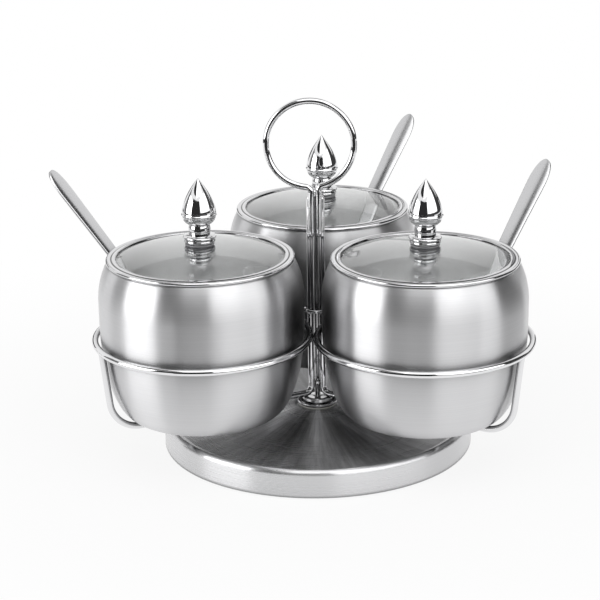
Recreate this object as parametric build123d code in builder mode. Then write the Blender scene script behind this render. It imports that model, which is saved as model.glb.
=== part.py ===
"""Rotating condiment rack: three lidded steel pots with spoons, carried in wire rings
round a central post that turns on a spun steel base.

Millimetres, +Z up. The origin is on the turning axis, on the face that the rack stands on.
Seen from the front, along +Y, two pots stand in front and one behind.
"""
import os
from math import atan2, cos, degrees, radians, sin, sqrt

from build123d import *

# Clearances
ring_clearance = 0.8        # pot wall to the ring that holds it
rest_gap = 0.3              # pot floor to the wire that it rests on
lid_clearance = 0.4         # lid skirt to the pot's mouth
spoon_clearance = 0.45      # spoon handle to the notch in the pot's mouth
running_clearance = 0.05    # spindle to its bushes, on the radius
screw_clearance = 0.05      # fixed screw to the hole that it fills, on the radius
cut_margin = 1.0            # how far a cut runs on past the piece that it cuts

# Wire of the rack
wire_radius = 1.5
handle_wire_radius = 1.4

# Base: a spun steel shell, closed below by a pressed plate with a foam pad
base_radius = 70.5
base_wall = 0.9
band_bottom = 0.6
band_top = 13.0
shoulder_width = 3.8
shoulder_rise = 2.4
dish_depth = 1.5
dish_sag = 1.6
base_top = 16.6
base_flat_radius = 11.0
pad_radius = 62.0
pad_thickness = 1.5
plate_thickness = 0.8
plate_flange_height = 3.2

# Bearing in the base
spindle_radius = 3.0
bush_wall = 1.4
bush_flange_radius = 8.5
bush_flange = 0.5
bush_gap = 0.6
socket_wall = 3.0
socket_depth = 8.0
socket_flange_radius = 10.5
socket_flange = 1.2
thread_radius = 2.45
spindle_washer_radius = 6.0
spindle_washer_thickness = 0.7
spindle_nut_across_flats = 8.0
spindle_nut_height = 3.6
thread_beyond_nut = 0.4

# Hub of the rack: a dished flange with a boss that the three wires stand on
hub_radius = 9.4
hub_plate = 0.8
hub_rim_width = 0.9
hub_rim_height = 1.8
hub_boss_radius = 7.2
hub_boss_height = 3.7
stub_radius = 1.3
stub_height = 7.7

# Post and cradle wires
post_wire_circle = 3.0
post_bend = 3.5
cradle_bend = 14.0
cradle_lean = 4.0
ring_above_run = 36.4
post_top_above_run = 93.2
collar_radius = 5.0
collar_thickness = 1.4
collar_above_ring = 2.6

# Handle loop at the head of the post
loop_radius = 19.3
loop_above_post = 23.7
loop_shift = 1.9
loop_bend = 2.5
leg_spacing = 3.3
leg_overlap = 18.5

# Pots
pot_radius = 44.8
pot_wall = 0.8
pot_floor_radius = 31.0
pot_lower_height = 41.9
pot_belly_height = 11.0
pot_shoulder_height = 16.7
mouth_radius = 40.5
notch_width = 11.0

# Lids
lid_radius = 41.0
lid_rim_height = 2.0
lid_lip_radius = 36.6
lid_lip_thickness = 0.8
skirt_depth = 1.2
lid_bead_drop = 0.1         # crest of the outer bead below the lip
crimp_thickness = 0.4
glass_grip = 1.1
glass_edge = 2.0
glass_margin = 0.2          # flat edge of the glass that shows inside the lip
glass_rise = 6.1
glass_middle = 3.0
gasket_radius = 6.4
gasket_thickness = 0.4
seal_radius = 6.8
seal_thickness = 0.8
lid_washer_radius = 6.3
lid_washer_thickness = 2.0
lid_screw_radius = 2.0
lid_screw_depth = 9.0
screw_end_gap = 1.0         # end of the screw to the bottom of its bore
screw_head_radius = 4.7
screw_head_height = 2.8
screw_head_bevel = 0.8

# Finial knobs
knob_foot_radius = 6.8      # lower bead of the foot
knob_foot_height = 2.0
knob_bead_radius = 7.2      # upper bead of the foot
knob_bead_height = 1.3
knob_neck_radius = 4.4
knob_neck_swell = 0.4
knob_neck_height = 5.0
knob_cup_height = 3.9
knob_lip_radius = 7.7
knob_lip_height = 0.9
knob_lip_flare = 0.4        # lip beyond the cup's edge
knob_bulb_radius = 7.4
knob_bulb_height = 15.5

# Spoons
spoon_lean = 48.5           # rise of the handle above level, in degrees
spoon_drop = 1.7            # middle of the handle below the rim, where it leaves the mouth
spoon_thickness = 1.6
crown_radius = 12.0
handle_reach = 47.0         # handle beyond the mouth
handle_tip_radius = 3.2
handle_radius = 4.8
handle_widest = 13.0        # widest place below the tip
handle_neck_radius = 2.3
bowl_length = 36.0
bowl_width = 20.0
bowl_depth = 5.0
bowl_wall = 1.0
spoon_length = 135.0

# Azimuths: where each pot stands, where its mouth is notched, and which way its spoon leans
pot_azimuth = {"front_left": 210.0, "front_right": 330.0, "back": 90.0}
notch_azimuth = {"front_left": 163.9, "front_right": 33.0, "back": 55.6}
spoon_azimuth = {"front_left": 157.8, "front_right": 49.8, "back": 53.3}

# Heights that follow from the sizes above
plate_bottom = pad_thickness
hub_bottom = base_top + bush_flange
boss_top = hub_bottom + hub_boss_height
run_height = boss_top + wire_radius
ring_height = run_height + ring_above_run
post_top = run_height + post_top_above_run
loop_height = post_top + loop_above_post
pot_bottom = run_height + wire_radius + rest_gap
belly_bottom = pot_bottom + pot_lower_height
belly_top = belly_bottom + pot_belly_height
rim = belly_top + pot_shoulder_height

# Widths that follow from the sizes above
ring_radius = pot_radius + ring_clearance + wire_radius
pot_circle = (ring_radius + wire_radius) / sin(radians(60))
bush_radius = spindle_radius + running_clearance + bush_wall
skirt_radius = mouth_radius - pot_wall - lid_clearance
glass_radius = lid_lip_radius + glass_grip
glass_top = rim + lid_rim_height - lid_lip_thickness
glass_bottom = glass_top - glass_edge
dome_top = glass_top + glass_rise
knob_bottom = dome_top + gasket_thickness
seal_bottom = dome_top - glass_middle - seal_thickness
washer_bottom = seal_bottom - lid_washer_thickness
screw_hole_radius = lid_screw_radius + screw_clearance
glass_hole_radius = screw_hole_radius + gasket_thickness

nodes = []


def keep(builder, label):
    """Name a finished piece and list it for export."""
    builder.part.label = label
    nodes.append(builder.part)
    return builder.part


def place_of(azimuth):
    """Centre of the pot that stands at an azimuth."""
    return pot_circle * cos(radians(azimuth)), pot_circle * sin(radians(azimuth))


def upright(x, y, azimuth=0.0):
    """Upright plane through a vertical axis: its X runs outwards, its Y is the height."""
    a = radians(azimuth)
    return Plane(origin=(x, y, 0), x_dir=(cos(a), sin(a), 0), z_dir=(sin(a), -cos(a), 0))


def turned(label, points, x=0.0, y=0.0, cuts=()):
    """Piece turned about a vertical axis from a closed outline of radius and height."""
    with BuildPart() as piece:
        with BuildSketch(upright(x, y)):
            with BuildLine():
                Polyline(*points, close=True)
            make_face()
        revolve(axis=Axis((x, y, 0), (0, 0, 1)))
        for other in cuts:
            add(other, mode=Mode.SUBTRACT)
    return keep(piece, label)


def block(inner, outer, bottom, top):
    """Outline of a plain ring or disc for turning."""
    return (inner, bottom), (outer, bottom), (outer, top), (inner, top)


# Base


def base_outline(inset):
    """Outside of the base, or its inside when drawn one wall further in."""
    side = base_radius - inset
    bead = base_radius - shoulder_width + inset * 0.5
    groove = band_top - dish_depth - inset
    floor = band_bottom if inset == 0 else band_bottom - cut_margin
    Line((0, floor), (side, floor))
    Line((side, floor), (side, band_top - shoulder_rise - inset))
    top_of_bead = ((side + bead) / 2, band_top - inset)
    TangentArc((side, band_top - shoulder_rise - inset), top_of_bead, tangent=(0, 1))
    TangentArc(top_of_bead, (bead, groove), tangent=(-1, 0))
    flat_start = (base_flat_radius, base_top - inset)
    middle = ((bead + base_flat_radius) / 2, (groove + base_top - inset) / 2 - dish_sag)
    ThreePointArc((bead, groove), middle, flat_start)
    Line(flat_start, (0, base_top - inset))
    Line((0, base_top - inset), (0, floor))


with BuildPart() as shell:
    with BuildSketch(upright(0, 0)):
        with BuildLine():
            base_outline(0)
        make_face()
    revolve(axis=Axis.Z)
    with BuildSketch(upright(0, 0)):
        with BuildLine():
            base_outline(base_wall)
        make_face()
    revolve(axis=Axis.Z, mode=Mode.SUBTRACT)
    with Locations((0, 0, base_top)):
        Hole(radius=bush_radius)
keep(shell, "base_shell")

plate_outer = base_radius - base_wall
turned("base_plate", (
    (0, plate_bottom), (plate_outer, plate_bottom),
    (plate_outer, plate_bottom + plate_flange_height),
    (plate_outer - plate_thickness, plate_bottom + plate_flange_height),
    (plate_outer - plate_thickness, plate_bottom + plate_thickness),
    (0, plate_bottom + plate_thickness),
))
turned("foot_pad", block(0, pad_radius, 0, plate_bottom))

socket_top = base_top - base_wall
socket_bottom = base_top - socket_depth
socket_radius = bush_radius + socket_wall
turned("base_socket", (
    (bush_radius, socket_bottom), (socket_radius, socket_bottom),
    (socket_radius, socket_top - socket_flange), (socket_flange_radius, socket_top - socket_flange),
    (socket_flange_radius, socket_top), (bush_radius, socket_top),
))

bush_bore = spindle_radius + running_clearance
bush_length = (socket_depth - bush_gap) / 2
turned("upper_bush", (
    (bush_bore, base_top - bush_length), (bush_radius, base_top - bush_length),
    (bush_radius, base_top), (bush_flange_radius, base_top),
    (bush_flange_radius, hub_bottom), (bush_bore, hub_bottom),
))
turned("lower_bush", (
    (bush_bore, socket_bottom - bush_flange), (socket_radius, socket_bottom - bush_flange),
    (socket_radius, socket_bottom), (bush_radius, socket_bottom),
    (bush_radius, socket_bottom + bush_length), (bush_bore, socket_bottom + bush_length),
))

# Spindle, hub flange and the nut that holds the rack down

shoulder = socket_bottom - bush_flange - running_clearance
thread_end = shoulder - spindle_washer_thickness - spindle_nut_height - thread_beyond_nut
with BuildPart() as spindle:
    with BuildSketch(upright(0, 0)):
        with BuildLine():
            stub_top = boss_top + stub_height
            Polyline(
                (0, stub_top), (0, thread_end), (thread_radius, thread_end), (thread_radius, shoulder),
                (spindle_radius, shoulder), (spindle_radius, boss_top),
                (stub_radius, boss_top), (stub_radius, stub_top - stub_radius),
            )
            TangentArc((stub_radius, stub_top - stub_radius), (0, stub_top), tangent=(0, 1))
        make_face()
    revolve(axis=Axis.Z)
keep(spindle, "spindle")

hub_rim_inner = hub_radius - hub_rim_width
turned("hub_flange", (
    (spindle_radius, hub_bottom), (hub_radius - hub_rim_width, hub_bottom),
    (hub_radius, hub_bottom + hub_rim_width), (hub_radius, hub_bottom + hub_rim_height),
    (hub_rim_inner, hub_bottom + hub_rim_height), (hub_rim_inner, hub_bottom + hub_plate),
    (hub_boss_radius, hub_bottom + hub_plate), (hub_boss_radius, boss_top),
    (spindle_radius, boss_top),
))

turned("spindle_washer", block(
    thread_radius + screw_clearance, spindle_washer_radius,
    shoulder - spindle_washer_thickness, shoulder,
))
with BuildPart() as nut:
    with BuildSketch(Plane.XY.offset(shoulder - spindle_washer_thickness - spindle_nut_height)):
        RegularPolygon(spindle_nut_across_flats / 2, 6, major_radius=False)
        Circle(thread_radius + screw_clearance, mode=Mode.SUBTRACT)
    extrude(amount=spindle_nut_height)
keep(nut, "spindle_nut")

# Rings and cradle wires

for name, azimuth in pot_azimuth.items():
    centre_x, centre_y = place_of(azimuth)
    with BuildPart(Plane(origin=(centre_x, centre_y, ring_height))) as ring:
        Torus(ring_radius, wire_radius)
    keep(ring, f"{name}_ring")

    with BuildPart() as cradle:
        with BuildLine(upright(0, 0, azimuth)) as route:
            FilletPolyline(
                (pot_circle + ring_radius, ring_height),
                (pot_circle + ring_radius - cradle_lean, run_height),
                (post_wire_circle, run_height),
                (post_wire_circle, post_top),
                radius=(cradle_bend, post_bend),
            )
        with BuildSketch(Plane(origin=route.line @ 0, z_dir=route.line % 0)):
            Circle(wire_radius)
        sweep()
        fillet(cradle.faces().sort_by(Axis.Z)[-1].edges(), wire_radius * 0.6)
        add(ring.part, mode=Mode.SUBTRACT)
    keep(cradle, f"{name}_cradle_wire")

with BuildPart() as collar:
    with BuildSketch(Plane.XY.offset(ring_height + collar_above_ring)):
        Circle(collar_radius)
        for azimuth in pot_azimuth.values():
            with Locations((post_wire_circle * cos(radians(azimuth)),
                            post_wire_circle * sin(radians(azimuth)))):
                Circle(wire_radius, mode=Mode.SUBTRACT)
    extrude(amount=collar_thickness)
keep(collar, "post_collar")

# Handle loop: its two legs lie against the two front wires of the post

front_wire_x = post_wire_circle * cos(radians(30))
front_wire_y = post_wire_circle * sin(radians(30))
leg_x = leg_spacing / 2
leg_gap = wire_radius + handle_wire_radius
leg_y = front_wire_y + sqrt(leg_gap ** 2 - (front_wire_x - leg_x) ** 2)
loop_plane = Plane(origin=(0, -leg_y, 0), x_dir=(1, 0, 0), z_dir=(0, -1, 0))


def bend_centre(side):
    """Centre of the small bend that turns the loop down into a leg, left -1 or right 1."""
    across = side * (leg_x + loop_bend) + loop_shift
    drop = sqrt((loop_radius + loop_bend) ** 2 - across ** 2)
    return Vector(side * (leg_x + loop_bend), loop_height - drop)


def loop_angle(side):
    """Angle on the loop at which that bend takes over."""
    centre = bend_centre(side)
    return degrees(atan2(centre.Y - loop_height, centre.X + loop_shift))


with BuildPart() as handle:
    with BuildLine(loop_plane) as route:
        left = bend_centre(-1)
        right = bend_centre(1)
        leg_end = post_top - leg_overlap
        start_angle = loop_angle(1)
        sweep_angle = (loop_angle(-1) - start_angle) % 360
        Line((-leg_x, leg_end), (-leg_x, left.Y))
        CenterArc((left.X, left.Y), loop_bend, 0, loop_angle(-1) + 180)
        CenterArc((-loop_shift, loop_height), loop_radius, start_angle, sweep_angle)
        CenterArc((right.X, right.Y), loop_bend, 180, start_angle)
        Line((leg_x, right.Y), (leg_x, leg_end))
    with BuildSketch(Plane(origin=loop_plane.from_local_coords(Vector(-leg_x, leg_end, 0)), z_dir=(0, 0, 1))):
        Circle(handle_wire_radius)
    sweep()
    fillet(handle.faces().sort_by(Axis.Z)[:2].edges(), handle_wire_radius * 0.6)
keep(handle, "handle_loop")

# Pots, lids and spoons


def pot_outline(inset):
    """Outside of a pot, or its inside when drawn one wall further in."""
    floor = pot_bottom + inset
    side = pot_radius - inset
    mouth = (mouth_radius - inset, rim)
    Line((0, floor), (pot_floor_radius, floor))
    EllipticalCenterArc(
        (pot_floor_radius, belly_bottom), side - pot_floor_radius, belly_bottom - floor,
        start_angle=270, arc_size=90,
    )
    Line((side, belly_bottom), (side, belly_top))
    TangentArc((side, belly_top), mouth, tangent=(0, 1))
    Line(mouth, (0, rim))
    Line((0, rim), (0, floor))


def make_pot(name, x, y, spoon_plane):
    """Barrel shaped pot with a notch in its mouth for the spoon's handle."""
    axis = Axis((x, y, 0), (0, 0, 1))
    with BuildPart() as pot:
        with BuildSketch(upright(x, y)):
            with BuildLine():
                pot_outline(0)
            make_face()
        revolve(axis=axis)
        with BuildSketch(upright(x, y)):
            with BuildLine():
                pot_outline(pot_wall)
            make_face()
        revolve(axis=axis, mode=Mode.SUBTRACT)
        with BuildSketch(spoon_plane.offset(-spoon_thickness / 2 - spoon_clearance)):
            Rectangle(notch_width, notch_width * 1.4)
        extrude(amount=notch_width * 1.5, mode=Mode.SUBTRACT)
    keep(pot, f"{name}_pot")


def make_spoon(name, spoon_plane):
    """Spoon with a crowned, tapered handle and an oval bowl, drawn on the handle's middle plane."""
    along = spoon_plane.y_dir
    bowl_middle = handle_reach - spoon_length + bowl_length / 2
    half_width = bowl_width / 2
    turn_radius = (half_width ** 2 + bowl_depth ** 2) / (2 * bowl_depth)
    long_radius = ((bowl_length / 2) ** 2 + bowl_depth ** 2) / (2 * bowl_depth)
    bowl_origin = spoon_plane.from_local_coords(Vector(0, bowl_middle, turn_radius - bowl_depth))
    crown_origin = spoon_plane.from_local_coords(Vector(0, handle_reach + cut_margin, 0))
    with BuildPart() as strip:
        with BuildSketch(spoon_plane.offset(-spoon_thickness / 2)):
            with Locations((0, handle_reach - handle_tip_radius)):
                Circle(handle_tip_radius)
            with Locations((0, handle_reach - handle_widest)):
                Circle(handle_radius)
            with Locations((0, bowl_middle + bowl_length / 2)):
                Circle(handle_neck_radius)
            make_hull()
        extrude(amount=spoon_thickness)
        with BuildSketch(Plane(origin=crown_origin, x_dir=spoon_plane.x_dir, z_dir=-along)):
            with Locations((0, spoon_thickness / 2 - crown_radius)):
                Circle(crown_radius)
        extrude(amount=spoon_length, mode=Mode.INTERSECT)
    with BuildPart() as spoon:
        with BuildSketch(Plane(origin=bowl_origin, x_dir=along, z_dir=spoon_plane.x_dir)):
            with Locations((0, long_radius - turn_radius)):
                Circle(long_radius)
                Circle(long_radius - bowl_wall, mode=Mode.SUBTRACT)
            with Locations((0, -turn_radius)):
                Rectangle(bowl_length * 2, bowl_depth * 2 + bowl_wall * 2, mode=Mode.INTERSECT)
        revolve(axis=Axis(bowl_origin, along))
        split(bisect_by=spoon_plane, keep=Keep.BOTTOM)
        add(strip.part)
    keep(spoon, f"{name}_spoon")


def make_lid_ring(name, x, y):
    """Crimped steel ring round the glass, with a bead outside and a skirt in the mouth."""
    top = rim + lid_rim_height
    seat = mouth_radius - pot_wall / 2
    groove = (skirt_radius - lid_clearance, top - lid_lip_thickness / 2)
    bead_top = (lid_radius - lid_rim_height / 2, top - lid_bead_drop)
    crimp = lid_lip_radius + crimp_thickness
    with BuildPart() as ring:
        with BuildSketch(upright(x, y)):
            with BuildLine():
                Polyline((seat, rim), (skirt_radius, rim), (skirt_radius, rim - skirt_depth),
                         (crimp, rim - skirt_depth), (crimp, glass_bottom), (glass_radius, glass_bottom),
                         (glass_radius, glass_top), (lid_lip_radius, glass_top))
                TangentArc((lid_lip_radius, glass_top), (lid_lip_radius + lid_lip_thickness, top),
                           tangent=(0, 1))
                Line((lid_lip_radius + lid_lip_thickness, top), groove)
                Line(groove, bead_top)
                TangentArc(bead_top, (lid_radius, rim + lid_rim_height / 2), tangent=(1, 0))
                TangentArc((lid_radius, rim + lid_rim_height / 2), (seat, rim), tangent=(0, -1))
            make_face()
        revolve(axis=Axis((x, y, 0), (0, 0, 1)))
    keep(ring, f"{name}_lid_ring")


def make_glass(name, x, y):
    """Domed glass of the lid, with a flat edge that the ring grips and a hole for the screw."""
    edge = lid_lip_radius - glass_margin
    with BuildPart() as glass:
        with BuildSketch(upright(x, y)):
            with BuildLine():
                Polyline((edge, glass_bottom), (glass_radius, glass_bottom),
                         (glass_radius, glass_top), (edge, glass_top))
                TangentArc((0, dome_top), (edge, glass_top), tangent=(1, 0))
                Line((0, dome_top), (0, dome_top - glass_middle))
                TangentArc((0, dome_top - glass_middle), (edge, glass_bottom), tangent=(1, 0))
            make_face()
        revolve(axis=Axis((x, y, 0), (0, 0, 1)))
        with Locations((x, y, dome_top)):
            Hole(radius=glass_hole_radius)
    return keep(glass, f"{name}_lid_glass")


def make_knob(name, x, y):
    """Turned finial: foot of two beads, swelling neck, cup, lip and a pointed bulb, bored for the screw."""
    bead_bottom = knob_bottom + knob_foot_height
    neck_bottom = bead_bottom + knob_bead_height
    neck_top = neck_bottom + knob_neck_height
    lip_bottom = neck_top + knob_cup_height
    bulb_bottom = lip_bottom + knob_lip_height
    foot_side = knob_foot_radius - knob_foot_height / 3
    bead_side = knob_bead_radius - knob_bead_height / 3
    with BuildPart() as knob:
        with BuildSketch(upright(x, y)):
            with BuildLine():
                Line((0, knob_bottom), (foot_side, knob_bottom))
                ThreePointArc((foot_side, knob_bottom),
                              (knob_foot_radius, knob_bottom + knob_foot_height / 2),
                              (foot_side, bead_bottom))
                Line((foot_side, bead_bottom), (bead_side, bead_bottom))
                ThreePointArc((bead_side, bead_bottom),
                              (knob_bead_radius, bead_bottom + knob_bead_height / 2),
                              (bead_side, neck_bottom))
                Line((bead_side, neck_bottom), (knob_neck_radius, neck_bottom))
                ThreePointArc((knob_neck_radius, neck_bottom),
                              (knob_neck_radius + knob_neck_swell, neck_bottom + knob_neck_height / 2),
                              (knob_neck_radius, neck_top))
                TangentArc((knob_neck_radius, neck_top), (knob_lip_radius - knob_lip_flare, lip_bottom),
                           tangent=(1, 0.3))
                ThreePointArc((knob_lip_radius - knob_lip_flare, lip_bottom),
                              (knob_lip_radius, lip_bottom + knob_lip_height / 2),
                              (knob_bulb_radius, bulb_bottom))
                Spline((knob_bulb_radius, bulb_bottom),
                       (knob_bulb_radius * 0.87, bulb_bottom + knob_bulb_height * 0.32),
                       (knob_bulb_radius * 0.56, bulb_bottom + knob_bulb_height * 0.61),
                       (knob_bulb_radius * 0.24, bulb_bottom + knob_bulb_height * 0.85),
                       (0, bulb_bottom + knob_bulb_height),
                       tangents=((0, 1), (-1, 0)))
                Line((0, bulb_bottom + knob_bulb_height), (0, knob_bottom))
            make_face()
        revolve(axis=Axis((x, y, 0), (0, 0, 1)))
        with Locations(Location((x, y, knob_bottom), (180, 0, 0))):
            Hole(radius=lid_screw_radius, depth=lid_screw_depth)
    keep(knob, f"{name}_knob")


def make_lid(name, x, y):
    """Lid: ring, glass, knob, and the screw, washer and seals that hold the knob."""
    make_lid_ring(name, x, y)
    glass = make_glass(name, x, y)
    make_knob(name, x, y)
    turned(f"{name}_knob_gasket",
           block(screw_hole_radius, gasket_radius, dome_top - glass_middle / 2, knob_bottom),
           x, y, cuts=[glass])
    turned(f"{name}_lid_seal",
           block(screw_hole_radius, seal_radius, seal_bottom, dome_top - glass_middle * 0.6),
           x, y, cuts=[glass])
    turned(f"{name}_lid_washer",
           block(screw_hole_radius, lid_washer_radius, washer_bottom, seal_bottom), x, y)
    shank = lid_screw_radius - screw_clearance
    head_bottom = washer_bottom - screw_head_height
    turned(f"{name}_lid_screw", (
        (0, head_bottom), (screw_head_radius - screw_head_bevel, head_bottom),
        (screw_head_radius, head_bottom + screw_head_bevel), (screw_head_radius, washer_bottom),
        (shank, washer_bottom), (shank, knob_bottom + lid_screw_depth - screw_end_gap),
        (0, knob_bottom + lid_screw_depth - screw_end_gap),
    ), x, y)


for name, azimuth in pot_azimuth.items():
    centre_x, centre_y = place_of(azimuth)
    notch = radians(notch_azimuth[name])
    lean = radians(spoon_azimuth[name])
    rise = radians(spoon_lean)
    spoon_plane = Plane(
        origin=(centre_x + lid_radius * cos(notch), centre_y + lid_radius * sin(notch), rim - spoon_drop),
        x_dir=(sin(lean), -cos(lean), 0),
        z_dir=(-cos(lean) * sin(rise), -sin(lean) * sin(rise), cos(rise)),
    )
    make_pot(name, centre_x, centre_y, spoon_plane)
    make_spoon(name, spoon_plane)
    make_lid(name, centre_x, centre_y)

os.makedirs("parts", exist_ok=True)
for node in nodes:
    export_step(node, f"parts/{node.label}.step")
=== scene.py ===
"""Looks of the rotating condiment rack: smooth steel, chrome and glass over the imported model.

Every surface is worked out as a whole array: a lathe carries an outline of radius and height round
an upright axis, a wire carries a circle along a bent path, and a spoon is a grid of length and
girth. Lengths are in metres, in the model's own frame.
"""

import bmesh
import bpy
import numpy as np
from bpy.props import FloatProperty, FloatVectorProperty, PointerProperty
from bpy.types import NodeSocket, Operator, Panel, PropertyGroup
from mathutils import Matrix, Vector


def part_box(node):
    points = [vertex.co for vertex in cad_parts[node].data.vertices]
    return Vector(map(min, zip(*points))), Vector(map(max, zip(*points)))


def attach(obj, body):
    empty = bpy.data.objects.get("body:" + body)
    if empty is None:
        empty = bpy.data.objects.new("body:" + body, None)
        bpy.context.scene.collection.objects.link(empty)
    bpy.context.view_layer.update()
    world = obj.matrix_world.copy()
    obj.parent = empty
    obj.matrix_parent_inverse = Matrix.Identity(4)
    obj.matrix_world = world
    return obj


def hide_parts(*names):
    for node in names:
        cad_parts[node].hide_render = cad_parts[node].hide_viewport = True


bl_info = {
    "name": "Rotating condiment rack",
    "version": (1, 0, 0),
    "blender": (4, 5, 0),
    "location": "View3D > Sidebar > Rack",
    "description": "Builds the steel, chrome and glass of a rotating condiment rack",
    "category": "Object",
}

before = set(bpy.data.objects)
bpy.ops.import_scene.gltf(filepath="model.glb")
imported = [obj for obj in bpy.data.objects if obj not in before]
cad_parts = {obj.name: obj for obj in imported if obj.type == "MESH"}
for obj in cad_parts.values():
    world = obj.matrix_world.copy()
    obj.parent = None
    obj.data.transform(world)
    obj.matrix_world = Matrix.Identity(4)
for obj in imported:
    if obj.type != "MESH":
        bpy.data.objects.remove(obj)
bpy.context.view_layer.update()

MM = 0.001
SETS = ("front_left", "front_right", "back")

# Directions on the floor plan, in degrees from the model's x axis towards its y axis
POT_AZIMUTH = {"front_left": 210.0, "front_right": 330.0, "back": 90.0}
NOTCH_AZIMUTH = {"front_left": 163.9, "front_right": 33.0, "back": 55.6}
SPOON_AZIMUTH = {"front_left": 157.8, "front_right": 49.8, "back": 53.3}

# Turn of each spoon about its own length, in degrees
SPOON_ROLL = {"front_left": 0.0, "front_right": 0.0, "back": 6.0}

# Points that lie nearer together than this are one
TOUCHING = 1e-7

# Half the angle between a corner's sides, in degrees, past which the corner counts as straight
STRAIGHT_CORNER = 89.5

# Points round a turned piece, round a pot, and round a wire
TURNS = 160
POT_TURNS = 240
WIRE_SIDES = 28

# Share of a wire's first or last stretch that the circle beside a flat cap takes
CAP_SHARE = 0.01

# Angles of the circles in a rounded wire end, from the wire's full radius to nearly nothing
ROUND_END = np.radians(np.linspace(0, 84, 7))


def length(name, default_mm, note):
    """A size that a user can change, shown in the panel."""
    return FloatProperty(name=name, description=note, default=default_mm * MM, min=0.0,
                         precision=5, unit="LENGTH", subtype="DISTANCE")


def degrees(name, default, note):
    """An angle that a user can change; the default is in degrees."""
    return FloatProperty(name=name, description=note, default=np.radians(default),
                         unit="ROTATION", subtype="ANGLE")


def number(name, default, note):
    """A plain number that a user can change."""
    return FloatProperty(name=name, description=note, default=default)


def colour(name, default, note):
    """A colour that a user can change, shown in the panel."""
    return FloatVectorProperty(name=name, description=note, default=default, size=3,
                               min=0.0, max=1.0, subtype="COLOR")


class RackSizes(PropertyGroup):
    """Sizes of the rack, its pots, lids and spoons."""
    wire: length("Wire radius", 1.5, "Radius of the wire of rings, cradles and post")
    loop_wire: length("Loop wire radius", 1.4, "Radius of the handle loop's wire")
    ring_clearance: length("Ring clearance", 0.8, "Gap from a pot to its ring")
    pot_radius: length("Pot radius", 44.8, "Radius of a pot at its widest")
    pot_wall: length("Pot wall", 0.8, "Thickness of the pots' sheet")
    pot_floor: length("Pot floor radius", 31.0, "Radius of a pot's flat floor")
    mouth: length("Mouth radius", 40.5, "Outer radius of a pot's mouth")
    lid_radius: length("Lid radius", 41.0, "Outer radius of a lid's ring")
    lip_radius: length("Lip radius", 36.6, "Inner radius of the lid ring's top lip")
    glass_rise: length("Glass rise", 6.1, "Rise of the glass from its edge to its middle")
    spoon_length: length("Spoon length", 135.0, "Length of a spoon")
    bowl_width: length("Bowl width", 20.0, "Width of a spoon's bowl")
    base_radius: length("Base radius", 70.5, "Radius of the base")
    band_height: length("Band height", 13.0, "Height of the base's upright band")


class RackColours(PropertyGroup):
    """Colours of the finishes."""
    brushed: colour("Brushed steel", (0.70, 0.70, 0.71), "Pots and base")
    # The pots' inside is the same steel painted paler, as painted light
    inside: colour("Inside of the pots", (0.95, 0.95, 0.95), "Inner side of the pots")
    polished: colour("Polished steel", (0.68, 0.68, 0.69), "Lid rings and the pieces in the base")
    spoon: colour("Spoon steel", (0.5984, 0.5984, 0.6072), "Spoons")
    chrome: colour("Chrome", (0.80, 0.80, 0.81), "Wires, knobs and hub")
    glass: colour("Glass", (0.97, 0.98, 0.98), "Lids")
    foam: colour("Foam", (0.035, 0.035, 0.037), "Pad under the base")
    silicone: colour("Silicone", (0.25, 0.25, 0.26), "Gaskets under and over the glass")
    nylon: colour("Nylon", (0.80, 0.79, 0.75), "Bearing bushes")


def sizes():
    """The sizes in use."""
    return bpy.context.scene.rack_sizes


def colours():
    """The colours in use."""
    return bpy.context.scene.rack_colours


# Curves: every outline is an array of two columns


def on_circle(centre, radius, angle):
    """Points of a circle or an upright ellipse: centre + (rx cos a, ry sin a).

    radius is one number, or the pair of an ellipse."""
    rx, ry = (radius, radius) if np.isscalar(radius) else radius
    return np.stack([centre[0] + rx * np.cos(angle), centre[1] + ry * np.sin(angle)], axis=1)


def arc(centre, radius, start, end, count):
    """Points on a circle or an upright ellipse from one angle to another, in degrees."""
    return on_circle(centre, radius, np.radians(np.linspace(start, end, count)))


def straight(start, end, count):
    """Points spread evenly from start to end."""
    share = np.linspace(0.0, 1.0, count)[:, None]
    return np.asarray(start) * (1 - share) + np.asarray(end) * share


def leaving_arc(start, heading, end, count):
    """Arc that leaves start along a heading and ends at end.

    Its centre lies on the line square to the heading at start, as far from start as from end."""
    start, end = np.asarray(start, float), np.asarray(end, float)
    heading = np.asarray(heading, float) / np.linalg.norm(heading)
    side = np.array([-heading[1], heading[0]])
    chord = end - start
    reach = chord @ chord / (2 * chord @ side)
    centre = start + side * reach
    first = np.arctan2(*(start - centre)[::-1])
    sweep = (np.arctan2(*(end - centre)[::-1]) - first) % (2 * np.pi)
    if reach < 0:
        sweep -= 2 * np.pi
    return on_circle(centre, abs(reach), first + np.linspace(0.0, 1.0, count) * sweep)


def circle_through(first, second, third, count):
    """Arc through three points: its centre is as far from each of them."""
    a, b, c = (np.asarray(p, float) for p in (first, second, third))
    rows = 2 * np.stack([b - a, c - a])
    centre = np.linalg.solve(rows, np.array([b @ b - a @ a, c @ c - a @ a]))
    start, end = (np.arctan2(*(p - centre)[::-1]) for p in (a, c))
    turn = (end - start + np.pi) % (2 * np.pi) - np.pi
    return on_circle(centre, np.linalg.norm(a - centre),
                     start + np.linspace(0.0, 1.0, count) * turn)


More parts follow.
